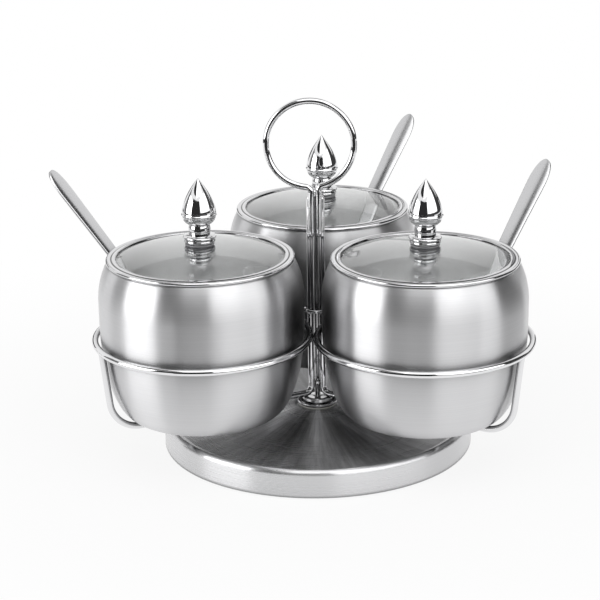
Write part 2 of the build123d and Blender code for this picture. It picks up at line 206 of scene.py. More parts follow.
def rounded(points, radius, count=6, closed=False):
    """Polyline with every corner rounded by an arc that touches both of its sides.

    At a corner with half angle h, the arc starts radius / tan h before it and ends as far after it.
    radius is one number, or one for each point."""
    points = np.asarray(points, float)
    number_of_points = len(points)
    radii = np.broadcast_to(np.asarray(radius, float), (number_of_points,))
    pieces = []
    for i, corner in enumerate(points):
        end = not closed and i in (0, number_of_points - 1)
        if end or radii[i] <= 0:
            pieces.append(corner[None])
            continue
        before = points[i - 1] - corner
        after = points[(i + 1) % number_of_points] - corner
        before = before / np.linalg.norm(before)
        after = after / np.linalg.norm(after)
        half = np.arccos(np.clip(before @ after, -1, 1)) / 2
        if half > np.radians(STRAIGHT_CORNER):
            pieces.append(corner[None])
            continue
        middle = before + after
        middle = middle / np.linalg.norm(middle)
        centre = corner + middle * radii[i] / np.sin(half)
        first = before * radii[i] / np.tan(half) + corner - centre
        last = after * radii[i] / np.tan(half) + corner - centre
        turn = np.arctan2(first[0] * last[1] - first[1] * last[0], first @ last)
        angle = np.linspace(0.0, 1.0, count) * turn
        spin = np.stack([first[0] * np.cos(angle) - first[1] * np.sin(angle),
                         first[0] * np.sin(angle) + first[1] * np.cos(angle)], axis=1)
        pieces.append(centre + spin)
    return np.concatenate(pieces)


def joined(*runs):
    """One outline from several runs or single points, without the points that two of them share."""
    points = np.concatenate([np.atleast_2d(run) for run in runs])
    step = np.linalg.norm(np.diff(points, axis=0), axis=1)
    return points[np.concatenate([[True], step > TOUCHING])]


def lengths_along(points):
    """Length from the first point to each one along the way, and last on to the first one again."""
    step = np.linalg.norm(np.diff(points, axis=0, append=points[:1]), axis=1)
    return np.concatenate([[0.0], np.cumsum(step)])


# Surfaces


def linked(name, data):
    """New object of the scene for a mesh, a lamp or a camera."""
    made = bpy.data.objects.new(name, data)
    bpy.context.scene.collection.objects.link(made)
    return made


def finish_piece(name, vertices, faces, uv, body, slot, material, replaced=None):
    """Put a surface into a mesh, shade it smooth and let it ride on its body.

    uv holds one pair for each corner of each face, in the faces' own order. The piece takes the
    place of the node replaced, or else of the one that it is named after."""
    mesh = bpy.data.meshes.new(name)
    mesh.from_pydata(vertices.tolist(), [], faces)
    layer = mesh.uv_layers.new(name="UVMap")
    layer.data.foreach_set("uv", np.asarray(uv, np.float32).ravel())
    mesh.shade_smooth()
    mesh.materials.append(material)
    mesh.validate()
    piece = linked(name, mesh)
    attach(piece, body)
    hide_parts(replaced or name.removesuffix("_skin"))
    return piece


def grid_faces(rows, columns, wrap_rows=False, wrap_columns=False):
    """Corners of the four-sided faces of a grid, with the row and column of each corner."""
    row = np.arange(rows if wrap_rows else rows - 1)
    column = np.arange(columns if wrap_columns else columns - 1)
    r, c = np.meshgrid(row, column, indexing="ij")
    corner_rows = np.stack([r, r, r + 1, r + 1], axis=-1).reshape(-1, 4)
    corner_columns = np.stack([c, c + 1, c + 1, c], axis=-1).reshape(-1, 4)
    index = (corner_rows % rows) * columns + corner_columns % columns
    return index, corner_rows, corner_columns


def lathe_arrays(outline, centre, angles, closed, reshape):
    """Surface of revolution: (cx + r cos a, cy + r sin a, z) for each outline point and angle.

    reshape, if given, is a function of radius, height and angle that returns a new radius and
    height. uv is the share of the turn and the length along the outline."""
    radius = np.repeat(outline[:, 0][:, None], len(angles), axis=1)
    height = np.repeat(outline[:, 1][:, None], len(angles), axis=1)
    if reshape is not None:
        radius, height = reshape(radius, height, angles[None, :])
    vertices = np.stack([centre[0] + radius * np.cos(angles), centre[1] + radius * np.sin(angles),
                         height], axis=-1).reshape(-1, 3)
    index, rows, columns = grid_faces(len(outline), len(angles), closed, True)
    around = np.append(angles, angles[0] + 2 * np.pi) / (2 * np.pi)
    uv = np.stack([around[columns], lengths_along(outline)[rows]], axis=-1)
    return vertices, index, uv


def lathe(name, outline, centre, body, slot, material, closed=False, turns=TURNS, angles=None,
          reshape=None):
    """Piece turned about an upright axis from an outline that runs up its outside.

    The outline of a hollow piece goes on down its inside. One that starts or ends on the axis is
    closed there by triangles, and a closed one joins its last point to its first."""
    outline = np.asarray(outline, float)
    if angles is None:
        angles = np.arange(turns) * 2 * np.pi / turns
    vertices, index, uv = lathe_arrays(outline, centre, angles, closed, reshape)
    count = len(angles)
    on_axis = outline[:, 0] < TOUCHING
    faces, corners = [], []
    first_face, last_face = 0, len(index)
    if on_axis[0]:
        first_face = count
        faces += index[:count, [0, 2, 3]].tolist()
        corners.append(uv[:count, [0, 2, 3]].reshape(-1, 2))
        vertices[:count] = vertices[:count].mean(axis=0)
    if on_axis[-1]:
        last_face = len(index) - count
        vertices[-count:] = vertices[-count:].mean(axis=0)
    faces += index[first_face:last_face].tolist()
    corners.append(uv[first_face:last_face].reshape(-1, 2))
    faces += index[last_face:, [0, 1, 2]].tolist()
    corners.append(uv[last_face:, [0, 1, 2]].reshape(-1, 2))
    piece = finish_piece(name, vertices, faces, np.concatenate(corners), body, slot, material)
    merge_poles(piece)


def merge_poles(piece):
    """Make one point of the many that lie together at a pole."""
    shape = bmesh.new()
    shape.from_mesh(piece.data)
    bmesh.ops.remove_doubles(shape, verts=shape.verts, dist=TOUCHING)
    shape.to_mesh(piece.data)
    shape.free()


def tube_faces(rows, girth, run, closed=False):
    """Outward faces of a tube of rings that follow one another, and the uv pair of each corner.

    run is the length or share along the tube at each ring. Open ends get a flat cap each."""
    index, row, column = grid_faces(rows, girth, closed, True)
    faces = index[:, ::-1].tolist()
    uv = np.stack([column / girth, run[row]], axis=-1)[:, ::-1].reshape(-1, 2)
    if not closed:
        cap = np.arange(girth)
        faces += [cap.tolist(), (cap[::-1] + (rows - 1) * girth).tolist()]
        uv = np.concatenate([uv, np.zeros((2 * girth, 2))])
    return faces, uv


def rounded_end(path, heading, radii):
    """Path whose last point gives way to a few more, with radii that fall as a quarter circle."""
    radius = radii[-1]
    end = path[-1] - heading[-1] * radius * (1 - np.sin(ROUND_END))[:, None]
    path = np.concatenate([path[:-1], end])
    heading = np.concatenate([heading[:-1], np.repeat(heading[-1:], len(ROUND_END), axis=0)])
    radii = np.concatenate([radii[:-1], radius * np.cos(ROUND_END)])
    return path, heading, radii


def wire(name, path, across, radius, body, slot, material, closed=False, replaced=None,
         round_start=False, round_end=False):
    """Round wire along a flat path: path + radius (n cos a + b sin a).

    b is square to the path's plane, t is the path's heading and n is b x t. A plain end has one
    more circle close to it, which keeps the smooth shading of the run clear of the flat cap."""
    path = np.asarray(path, float)
    if not closed and not round_start:
        path = np.insert(path, 1, path[0] + (path[1] - path[0]) * CAP_SHARE, axis=0)
    if not closed and not round_end:
        path = np.insert(path, -1, path[-1] + (path[-2] - path[-1]) * CAP_SHARE, axis=0)
    across = np.asarray(across, float) / np.linalg.norm(across)
    if closed:
        heading = np.roll(path, -1, axis=0) - np.roll(path, 1, axis=0)
    else:
        heading = np.gradient(path, axis=0)
    heading /= np.linalg.norm(heading, axis=1)[:, None]
    radii = np.full(len(path), radius)
    if round_start:
        path, heading, radii = rounded_end(path[::-1], -heading[::-1], radii[::-1])
        path, heading, radii = path[::-1], -heading[::-1], radii[::-1]
    if round_end:
        path, heading, radii = rounded_end(path, heading, radii)
    normal = np.cross(across, heading)
    angle = np.arange(WIRE_SIDES) * 2 * np.pi / WIRE_SIDES
    ring = (normal[:, None] * np.cos(angle)[None, :, None]
            + across[None, None] * np.sin(angle)[None, :, None])
    vertices = (path[:, None] + ring * radii[:, None, None]).reshape(-1, 3)
    faces, uv = tube_faces(len(path), WIRE_SIDES, lengths_along(path), closed)
    finish_piece(name, vertices, faces, uv, body, slot, material, replaced)


# Node groups and materials


def new_group(name, inputs, outputs):
    """Empty shader node group; inputs maps a name to its number, or to None for a vector.

    outputs are the names of the values that it gives."""
    group = bpy.data.node_groups.new(name, "ShaderNodeTree")
    for socket, default in inputs.items():
        kind = "NodeSocketVector" if default is None else "NodeSocketFloat"
        made = group.interface.new_socket(name=socket, in_out="INPUT", socket_type=kind)
        if default is not None:
            made.default_value = default
    for socket in outputs:
        group.interface.new_socket(name=socket, in_out="OUTPUT", socket_type="NodeSocketFloat")
    return group, group.nodes.new("NodeGroupInput"), group.nodes.new("NodeGroupOutput")


def feed(tree, node, values):
    """Give a node's inputs their values; a value that is a socket is linked."""
    for key, value in values.items():
        if isinstance(value, NodeSocket):
            tree.links.new(value, node.inputs[key])
        else:
            node.inputs[key].default_value = value


def add_node(tree, kind, values=None, **settings):
    """New node with its settings and the values or links of its inputs."""
    node = tree.nodes.new(kind)
    for key, value in settings.items():
        setattr(node, key, value)
    feed(tree, node, values or {})
    return node


def calculate(tree, operation, *values):
    """Math node on sockets or numbers; returns its output."""
    return add_node(tree, "ShaderNodeMath", dict(enumerate(values)), operation=operation).outputs[0]


def spread(tree, value, low, high, start=0.0, end=1.0, smooth=False):
    """Map a value from start..end to low..high, and no further; smooth eases both ends."""
    node = add_node(tree, "ShaderNodeMapRange",
                    {"Value": value, "From Min": start, "From Max": end,
                     "To Min": low, "To Max": high},
                    interpolation_type="SMOOTHSTEP" if smooth else "LINEAR")
    return node.outputs["Result"]


def noise(tree, vector, scale, detail, roughness=0.5):
    """Noise of a vector; returns its value."""
    return add_node(tree, "ShaderNodeTexNoise",
                    {"Vector": vector, "Scale": scale, "Detail": detail,
                     "Roughness": roughness}).outputs[0]


def combined(tree, *sides):
    """Vector of three values."""
    return add_node(tree, "ShaderNodeCombineXYZ", dict(enumerate(sides))).outputs[0]


def brushing_group(name):
    """Fine lines left by a brush held against a turning piece.

    The lines are noise of radius and height, many times finer across the lines than along them,
    so they run round the axis. Streaks is that noise, Rays is noise of the way round the axis and a
    little of the radius, which paints lighter and darker reflection streaks that run outward, and
    Patches is a slow unevenness."""
    group, source, sink = new_group(
        name, {"Vector": None, "Fineness": 2600.0, "Waviness": 9.0, "Ray Reach": 0.066},
        ("Streaks", "Rays", "Patches"))
    place, fineness, waviness, ray_reach = source.outputs[:4]
    x, y, z = add_node(group, "ShaderNodeSeparateXYZ", {0: place}).outputs
    radius = calculate(group, "SQRT", calculate(group, "ADD", calculate(group, "MULTIPLY", x, x),
                                                calculate(group, "MULTIPLY", y, y)))
    across = calculate(group, "MULTIPLY", calculate(group, "ADD", radius, z), fineness)
    lines = combined(group, calculate(group, "MULTIPLY", x, waviness),
                     calculate(group, "MULTIPLY", y, waviness), across)
    outward = combined(group, calculate(group, "DIVIDE", x, radius),
                       calculate(group, "DIVIDE", y, radius),
                       calculate(group, "MULTIPLY", radius, 2.0))
    rays = spread(group, noise(group, outward, scale=16.0, detail=5.0, roughness=0.7), -0.5, 0.5,
                  start=0.36, end=0.64)
    within = calculate(group, "LESS_THAN", radius, ray_reach)
    feed(group, sink, {
        "Streaks": noise(group, lines, scale=1.0, detail=3.0, roughness=0.6),
        "Rays": calculate(group, "ADD", calculate(group, "MULTIPLY", rays, within), 0.5),
        "Patches": noise(group, place, scale=22.0, detail=2.0)})
    return group


def handling_group(name):
    """Faint smears of handling: slow noise for Smear, and thin scratches from stretched noise."""
    group, source, sink = new_group(name, {"Vector": None, "Scale": 60.0}, ("Smear", "Scratches"))
    place, scale = source.outputs[:2]
    stretched = add_node(group, "ShaderNodeVectorMath", {0: place, 1: (900.0, 140.0, 700.0)},
                         operation="MULTIPLY").outputs[0]
    scratches = noise(group, stretched, scale=1.0, detail=1.0)
    feed(group, sink, {
        "Smear": noise(group, place, scale, detail=4.0, roughness=0.65),
        "Scratches": spread(group, scratches, 0.0, 1.0, start=0.62, end=0.74)})
    return group


def placed_group(tree, name, make, centre=(0.0, 0.0), values=None):
    """Put a group into a material, read from Object coordinates measured from an upright axis."""
    group = bpy.data.node_groups.get(name) or make(name)
    coordinates = add_node(tree, "ShaderNodeTexCoord")
    moved = add_node(tree, "ShaderNodeMapping", {"Vector": coordinates.outputs["Object"],
                                                 "Location": (-centre[0], -centre[1], 0.0)})
    node = add_node(tree, "ShaderNodeGroup", node_tree=group)
    feed(tree, node, {"Vector": moved.outputs[0], **(values or {})})
    return node


def new_material(name, values=None):
    """Material with a Principled shader and its values; returns material, tree and shader."""
    material = bpy.data.materials.new(name)
    material.use_nodes = True
    tree = material.node_tree
    shader = tree.nodes["Principled BSDF"]
    feed(tree, shader, values or {})
    return material, tree, shader


def tinted(tree, shader, base, value, low, high):
    """Base Color that varies a little between two shares of a colour."""
    darker, paler = ((*[min(1.0, part * share) for part in base], 1.0) for share in (low, high))
    mix = add_node(tree, "ShaderNodeMix", {"Factor": value, "A": darker, "B": paler},
                   data_type="RGBA")
    feed(tree, shader, {"Base Color": mix.outputs["Result"]})


def current_colour(shader):
    """Output that feeds the Base Color so far."""
    return shader.inputs["Base Color"].links[0].from_socket


def scaled_colour(tree, shader, share):
    """Multiply whatever feeds the Base Color by a share."""
    scaled = add_node(tree, "ShaderNodeVectorMath", {0: current_colour(shader), "Scale": share},
                      operation="SCALE")
    feed(tree, shader, {"Base Color": scaled.outputs[0]})


def bumped(tree, shader, height, strength, distance):
    """Normal that follows a height."""
    bump = add_node(tree, "ShaderNodeBump",
                    {"Height": height, "Strength": strength, "Distance": distance})
    feed(tree, shader, {"Normal": bump.outputs[0]})


def along_outline(tree):
    """Length along a lathe's outline, which is the second value of its UV map."""
    pair = add_node(tree, "ShaderNodeUVMap", uv_map="UVMap")
    return add_node(tree, "ShaderNodeSeparateXYZ", {0: pair.outputs[0]}).outputs["Y"]


def crevices(tree, shader, reach, least, full=0.9):
    """Painted shade: the colour is darkened by ambient occlusion in narrow gaps and corners, where
    near surfaces crowd in and shade falls, down to a least share.

    Where the open share of the surroundings is above full, the steel keeps its own colour."""
    shade = add_node(tree, "ShaderNodeAmbientOcclusion", {"Distance": reach}, samples=6)
    scaled_colour(tree, shader, spread(tree, shade.outputs["AO"], least, 1.0, start=0.25, end=full))


def brushed_steel(name, centre=(0.0, 0.0), roughness=0.36, crevice=(0.03, 0.35, 0.9), rays=0.0,
                  inside_from=None):
    """Satin steel brushed round an axis, whose reflections are drawn out across the brush lines.

    Crevice shade is the reach, least share and full share of the shade painted into its narrow gaps
    and corners, and rays the strength of painted reflection streaks that run out from the axis.
    Where the outline's own length is past inside_from, the steel is painted paler, as painted light
    on a pot's inside."""
    material, tree, shader = new_material(
        name, {"Metallic": 1.0, "Anisotropic": 0.94, "Anisotropic Rotation": 0.25})
    tangent = add_node(tree, "ShaderNodeTangent", direction_type="UV_MAP", uv_map="UVMap")
    streaks, painted_ray_streaks, patches = placed_group(tree, "Turned Brushing", brushing_group,
                                               centre).outputs
    tinted(tree, shader, colours().brushed, streaks, 0.93, 1.07)
    # Painted reflection: lighter and darker streaks that run out from the axis
    scaled_colour(tree, shader, spread(tree, painted_ray_streaks, 1 - rays, 1 + rays))
    # Painted shade in narrow gaps and corners, from ambient occlusion
    crevices(tree, shader, *crevice)
    # Painted light: the inside of a pot is painted paler than its outside
    if inside_from is not None:
        inside = calculate(tree, "GREATER_THAN", along_outline(tree), inside_from)
        pale = add_node(tree, "ShaderNodeMix", {"Factor": inside, "A": current_colour(shader),
                                                "B": (*colours().inside, 1.0)}, data_type="RGBA")
        feed(tree, shader, {"Base Color": pale.outputs["Result"]})
    uneven = calculate(tree, "ADD", spread(tree, streaks, -0.03, 0.03),
                       spread(tree, patches, roughness - 0.02, roughness + 0.02))
    feed(tree, shader, {"Roughness": uneven, "Tangent": tangent.outputs[0]})
    bumped(tree, shader, streaks, strength=0.12, distance=0.05 * MM)
    return material


def bright_metal(name, base, roughness, scratch=0.08, crevice=(0.012, 0.45), groove=None):
    """Mirror-like metal with faint smears and scratches.

    Crevice shade is the reach and least share of the shade painted into its narrow gaps and
    corners.
    groove is the place and half width of a dark line of painted shade along the outline's own
    length, which stands in for the shade in a groove."""
    material, tree, shader = new_material(name, {"Metallic": 1.0})
    smear, scratches = placed_group(tree, "Handling", handling_group).outputs
    tinted(tree, shader, base, smear, 0.985, 1.015)
    # Painted shade in narrow gaps and corners, from ambient occlusion
    crevices(tree, shader, *crevice)
    if groove is not None:
        place, half = groove
        core = half * 0.4
        off = calculate(tree, "ABSOLUTE", calculate(tree, "SUBTRACT", along_outline(tree), place))
        # Painted shade: a dark line along the ring's groove
        scaled_colour(tree, shader, spread(tree, off, 0.12, 1.0, start=core, end=half, smooth=True))
    rough = calculate(tree, "ADD", spread(tree, smear, roughness * 0.6, roughness * 1.4),
                      calculate(tree, "MULTIPLY", scratches, scratch))
    feed(tree, shader, {"Roughness": rough})
    return material


def clear_glass(name):
    """Clear glass with faint smears."""
    material, tree, shader = new_material(name, {"Transmission Weight": 1.0, "IOR": 1.5})
    smear = placed_group(tree, "Handling", handling_group, values={"Scale": 45.0}).outputs["Smear"]
    tinted(tree, shader, colours().glass, smear, 0.99, 1.01)
    feed(tree, shader, {"Roughness": spread(tree, smear, 0.0, 0.02)})
    return material


def dull_material(name, base, roughness, grain):
    """Rubber, foam or nylon with a fine grain in colour and height."""
    material, tree, shader = new_material(name)
    place = add_node(tree, "ShaderNodeTexCoord").outputs["Object"]
    grains = noise(tree, place, scale=grain, detail=4.0)
    tinted(tree, shader, base, grains, 0.85, 1.15)
    feed(tree, shader, {"Roughness": spread(tree, grains, roughness - 0.06, roughness + 0.06)})
    bumped(tree, shader, grains, strength=0.3, distance=0.2 * MM)
    return material


def material_named(name, make, *values, **named):
    """A material by name, made the first time that it is asked for."""
    return bpy.data.materials.get(name) or make(name, *values, **named)


def chrome():
    """Chrome of the wires, the hub, the knobs, and the washers and screws under the glass."""
    return material_named("bright chrome", bright_metal, colours().chrome,
                          roughness=0.05, scratch=0.03)


def plain_steel():
    """Steel of the pieces inside the base."""
    return material_named("plain steel", bright_metal, colours().polished, roughness=0.28)


def repaint(material, *nodes):
    """Give kept nodes of the model a material."""
    for node in nodes:
        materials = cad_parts[node].data.materials
        materials.clear()
        materials.append(material)


# Places that follow from the model


def round_node(node):
    """Radius, lowest and highest point of a node that is round about an upright axis."""
    low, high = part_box(node)
    return (high.x - low.x) / 2, low.z, high.z


def ring_radius():
    """Radius of a pot ring's centre line."""
    s = sizes()
    return s.pot_radius + s.ring_clearance + s.wire


def pot_circle():
    """Distance of the pots from the turning axis, at which their rings touch."""
    return (ring_radius() + sizes().wire) / np.sin(np.radians(60))


def pot_centre(name):
    """Middle of a pot on the floor plan."""
    azimuth = np.radians(POT_AZIMUTH[name])
    return pot_circle() * np.cos(azimuth), pot_circle() * np.sin(azimuth)


def rim_height(name):
    """Height of a pot's rim."""
    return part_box(f"{name}_pot")[1].z


def direction(azimuth, elevation):
    """Unit vectors (sin a cos e, -cos a cos e, sin e) for angles in radians.

    Azimuth 0 lies in front of the rack, and a quarter turn on its right."""
    return np.stack([np.sin(azimuth) * np.cos(elevation), -np.cos(azimuth) * np.cos(elevation),
                     np.sin(elevation)], axis=-1)


def on_rack():
    """Body, slot and material of the bright pieces that turn with the rack."""
    return "rack", "bright_chrome", chrome()


# Pieces of the base and the hub


class RACK_OT_base(Operator):
    """Spun steel base with its upright band, bead, groove and dished top"""
    bl_idname = "rack.base"
    bl_label = "Base"

    shoulder_width: length("Shoulder width", 3.8, "Width of the rounded shoulder")
    shoulder_rise: length("Shoulder rise", 2.4, "Height of the rounded shoulder")
    dish_depth: length("Groove depth", 1.5, "Depth of the groove inside the shoulder")
    dish_sag: length("Dish sag", 1.6, "Hollow of the top below a straight cone")
    flat: length("Flat radius", 11.0, "Radius of the flat middle")
    wall: length("Wall", 0.9, "Thickness of the sheet")
    hole_share: number("Hole share", 0.6,
                       "Radius of the middle hole as a share of the upper bush's")

    def outline(self, bottom, top, inset):
        """Half section of the shell from its lower edge up to the flat middle."""
        s = sizes()
        side = s.base_radius - inset
        bead = s.base_radius - self.shoulder_width + inset / 2
        groove = s.band_height - self.dish_depth - inset
        crest = ((side + bead) / 2, s.band_height - inset)
        rise = (side, s.band_height - self.shoulder_rise - inset)
        dish = [(bead, groove),
                ((bead + self.flat) / 2, (groove + top - inset) / 2 - self.dish_sag),
                (self.flat, top - inset)]
        return joined(straight((side, bottom), rise, count=8),
                      leaving_arc(rise, (0, 1), crest, count=14),
                      leaving_arc(crest, (-1, 0), dish[0], count=10),
                      circle_through(*dish, count=40))

    def execute(self, context):
        _, bottom, top = round_node("base_shell")
        hole = round_node("upper_bush")[0] * self.hole_share
        section = joined(self.outline(bottom, top, 0.0), (hole, top), (hole, top - self.wall),
                         self.outline(bottom, top, self.wall)[::-1])
        # The base has painted reflection streaks and strong painted shade in its gaps
        steel = material_named("base brushed steel", brushed_steel, roughness=0.28,
                               crevice=(0.02, 0.6, 0.6), rays=0.22)
        lathe("base_shell_skin", section, (0, 0), "base", "base_steel", steel,
              closed=True, turns=220)
        repaint(plain_steel(), "base_plate", "base_socket")
        nylon = material_named("nylon", dull_material, colours().nylon, roughness=0.45, grain=500.0)
        repaint(nylon, "upper_bush", "lower_bush")
        foam = material_named("foam", dull_material, colours().foam, roughness=0.7, grain=900.0)
        repaint(foam, "foot_pad")
        return {"FINISHED"}


class RACK_OT_hub(Operator):
    """Dished hub flange with its boss, and the spindle whose tip shows between the wires"""
    bl_idname = "rack.hub"
    bl_label = "Hub"

    plate: length("Plate", 0.8, "Thickness of the flange")
    rim_width: length("Rim width", 0.9, "Width of the turned-up rim")
    rim_height: length("Rim height", 1.8, "Height of the turned-up rim")
    boss: length("Boss radius", 7.2, "Radius of the boss")
    spindle: length("Spindle radius", 3.0, "Radius of the spindle")
    stub: length("Stub radius", 1.3, "Radius of the spindle's tip")
    thread: length("Thread radius", 2.45, "Radius of the spindle's thread")

    def execute(self, context):
        radius, bottom, top = round_node("hub_flange")
        inner = radius - self.rim_width
        rim = bottom + self.rim_height
        floor = bottom + self.plate
        corners = [(self.spindle, bottom), (inner, bottom), (radius, bottom + self.rim_width),
                   (radius, rim), (inner, rim), (inner, floor), (self.boss, floor),
                   (self.boss, top), (self.spindle, top)]
        edges = np.array([0, 0.5, 0.6, 0.4, 0.4, 0.5, 0.5, 0.5, 0]) * MM
        lathe("hub_flange_skin", rounded(corners, edges, closed=True), (0, 0), *on_rack(),
              closed=True, turns=96)
        low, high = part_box("spindle")
        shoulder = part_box("spindle_washer")[1].z
        shaft = joined((0, low.z), (self.thread, low.z), (self.thread, shoulder),
                       (self.spindle, shoulder), (self.spindle, top), (self.stub, top),
                       arc((0, high.z - self.stub), self.stub, 0, 90, count=9))
        lathe("spindle_skin", shaft, (0, 0), *on_rack(), turns=48)
        repaint(plain_steel(), "spindle_washer", "spindle_nut")
        return {"FINISHED"}


# Wires


class RACK_OT_wires(Operator):
    """Three rings, three cradle wires that rise as the post, the collar and the handle loop"""
    bl_idname = "rack.wires"
    bl_label = "Wires"

    post_circle: length("Post circle", 3.0, "Distance of the post's wires from the axis")
    post_bend: length("Post bend", 3.5, "Bend from the lower run up into the post")
    cradle_bend: length("Cradle bend", 14.0, "Bend under the pot")
    cradle_lean: length("Cradle lean", 4.0, "Inward lean of the outer run")
    loop_radius: length("Loop radius", 19.3, "Radius of the handle loop's centre line")
    loop_shift: length("Loop shift", 1.9, "Shift of the loop to the left of its legs")
    loop_bend: length("Loop bend", 2.5, "Small bend from the loop into a leg")
    leg_spacing: length("Leg spacing", 3.3, "Distance between the two legs")
    collar_edge: length("Collar edge", 0.45, "Rounding of the collar's edges")

    def execute(self, context):
        for name in SETS:
            low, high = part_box(f"{name}_ring")
            height = (low.z + high.z) / 2
            self.ring(name, height)
            self.cradle(name, height)
        self.collar()
        self.handle()
        return {"FINISHED"}

    def ring(self, name, height):
        """Closed circle of wire round a pot."""
        circle = on_circle(pot_centre(name), ring_radius(), np.arange(200) * 2 * np.pi / 200)
        path = np.column_stack([circle, np.full(len(circle), height)])
        wire(f"{name}_ring_skin", path, (0, 0, 1), sizes().wire, *on_rack(), closed=True)

    def cradle(self, name, ring_height):
        """Wire from the ring down, under the pot to the middle, and up as a third of the post."""
        azimuth = np.radians(POT_AZIMUTH[name])
        out = np.array([np.cos(azimuth), np.sin(azimuth), 0.0])
        up = np.array([0.0, 0.0, 1.0])
        reach = pot_circle() + ring_radius()
        low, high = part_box(f"{name}_cradle_wire")
        run = low.z + sizes().wire
        flat = rounded([(reach, ring_height), (reach - self.cradle_lean, run),
                        (self.post_circle, run), (self.post_circle, high.z)],
                       [0, self.cradle_bend, self.post_bend, 0], count=16)
        wire(f"{name}_cradle_skin", flat[:, :1] * out + flat[:, 1:] * up, np.cross(out, up),
             sizes().wire, *on_rack(), replaced=f"{name}_cradle_wire", round_end=True)

    def collar(self):
        """Small disc that ties the three wires together."""
        radius, bottom, top = round_node("post_collar")
        section = rounded([(0, bottom), (radius, bottom), (radius, top), (0, top)],
                          [0, self.collar_edge, self.collar_edge, 0])
        lathe("post_collar_skin", section, (0, 0), *on_rack(), turns=64)

    def handle(self):
        """Round loop whose two legs lie against the front wires of the post."""
        s = sizes()
        low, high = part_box("handle_loop")
        middle = np.array([-self.loop_shift, high.z - s.loop_wire - self.loop_radius])
        leg = self.leg_spacing / 2
        centres, joins = [], []
        for side in (-1, 1):
            bend_x = side * (leg + self.loop_bend)
            drop = np.sqrt((self.loop_radius + self.loop_bend) ** 2 - (bend_x - middle[0]) ** 2)
            centres.append(np.array([bend_x, middle[1] - drop]))
            joins.append(np.degrees(np.arctan2(-drop, bend_x - middle[0])))
        left, right = centres
        sweep = (joins[0] - joins[1]) % 360
        flat = joined(straight((-leg, low.z), (-leg, left[1]), count=12),
                      arc(left, self.loop_bend, 0, joins[0] + 180, count=10),
                      arc(middle, self.loop_radius, joins[1] + sweep, joins[1], count=150),
                      arc(right, self.loop_bend, joins[1] + 180, 180, count=10),
                      straight((leg, right[1]), (leg, low.z), count=12))
        depth = np.full(len(flat), (low.y + high.y) / 2)
        wire("handle_loop_skin", np.column_stack([flat[:, 0], depth, flat[:, 1]]), (0, 1, 0),
             s.loop_wire, *on_rack(), round_start=True, round_end=True)


# Pots

# Lean of a pot's wall inside the notch: how far out it goes for each step down
NOTCH_SLOPE = 0.3

# Turn, in radians, over which a side of the notch rises
NOTCH_STEP = 2e-3


class RACK_OT_pots(Operator):
    """Three barrel-shaped pots with a notch in the mouth for the spoon"""
    bl_idname = "rack.pots"
    bl_label = "Pots"

    lower: length("Lower height", 41.9, "Height from the floor to the widest part")
    belly: length("Belly height", 11.0, "Height of the straight belly")
    notch_width: length("Notch width", 11.0, "Width of the notch in the mouth")
    notch_depth: length("Notch depth", 4.2, "Depth of the notch below the rim")

    def wall(self, bottom, rim, inset):
        """Half section of one side of the wall, from the axis up to the mouth."""
        s = sizes()
        side = s.pot_radius - inset
        floor = bottom + inset
        belly = bottom + self.lower
        top = (side, belly + self.belly)
        return joined(straight((0, floor), (s.pot_floor, floor), count=8),
                      arc((s.pot_floor, belly), (side - s.pot_floor, belly - floor), -90, 0,
                          count=36),
                      straight((side, belly), top, count=6),
                      leaving_arc(top, (0, 1), (s.mouth - inset, rim), count=24))

    def notched(self, rim, notch, half):
        """Function that lowers the wall's top inside the notch and keeps near the wall's slope."""
        def cut(radius, height, angle):
            off = np.abs((angle - notch + np.pi) % (2 * np.pi) - np.pi)
            limit = np.where(off <= half + TOUCHING, rim - self.notch_depth, rim)
            lowered = np.minimum(height, limit)
            return radius + (height - lowered) * NOTCH_SLOPE, lowered
        return cut

    def execute(self, context):
        s = sizes()
        for name in SETS:
            centre = pot_centre(name)
            low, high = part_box(f"{name}_pot")
            outside = self.wall(low.z, high.z, 0.0)
            section = joined(outside, self.wall(low.z, high.z, s.pot_wall)[::-1])
            notch = np.radians(NOTCH_AZIMUTH[name])
            half = self.notch_width / 2 / s.mouth
            edges = notch + np.concatenate([[-half - NOTCH_STEP], np.linspace(-half, half, 9),
                                            [half + NOTCH_STEP]])
            even = np.arange(POT_TURNS) * 2 * np.pi / POT_TURNS
            angles = np.unique(np.mod(np.concatenate([even, edges]), 2 * np.pi))
            steel = material_named(f"{name} brushed steel", brushed_steel, centre,
                                   inside_from=float(lengths_along(outside)[-2]))
            lathe(f"{name}_pot_skin", section, centre, f"{name}_pot", "pot_steel", steel,
                  angles=angles, reshape=self.notched(high.z, notch, half))
        return {"FINISHED"}


# Lids


